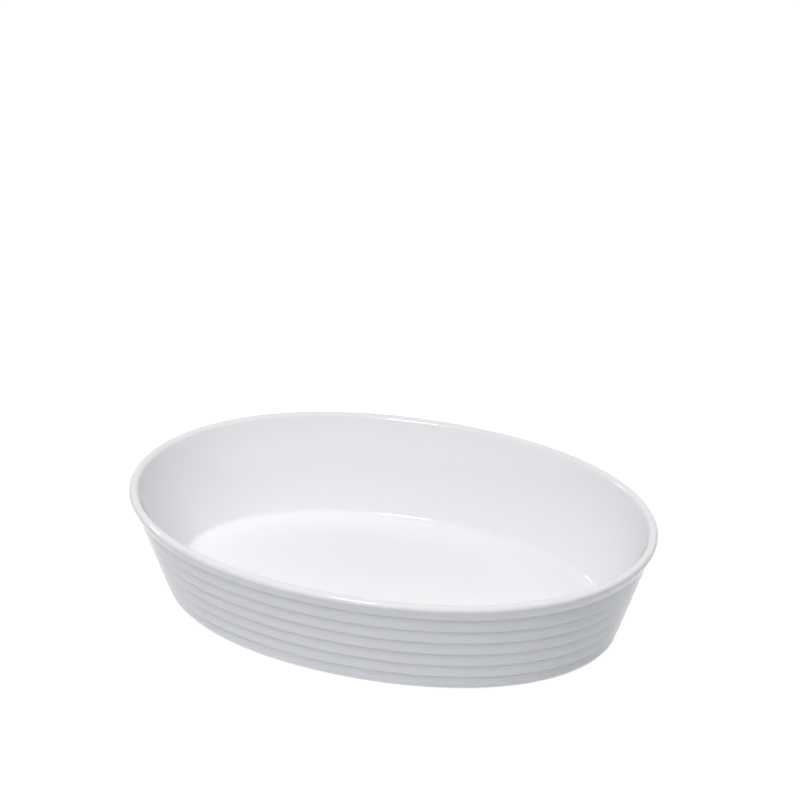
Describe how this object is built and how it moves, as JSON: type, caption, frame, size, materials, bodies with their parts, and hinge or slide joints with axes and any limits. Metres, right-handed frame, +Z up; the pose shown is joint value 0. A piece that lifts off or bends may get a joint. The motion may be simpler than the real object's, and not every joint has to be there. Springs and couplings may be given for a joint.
{
  "type": "oval baking dish",
  "caption": "Oval baking dish of white glazed porcelain, with a rounded rim, a leaning wall stepped in bands outside and smooth inside, a flat floor and a low foot ring.",
  "frame": {"origin": "on the table, under the middle of the dish, at the height of the foot ring's flat", "axes": "+X along the dish's length, +Y across its width, +Z up out of the open side"},
  "size_m": [0.24, 0.16, 0.0525],
  "materials": {
    "glazed_porcelain": "clear gloss glaze over white porcelain, bare on the flat of the foot ring"
  },
  "bodies": {
    "root": {"porcelain_dish": "glazed_porcelain"}
  },
  "joints": []
}
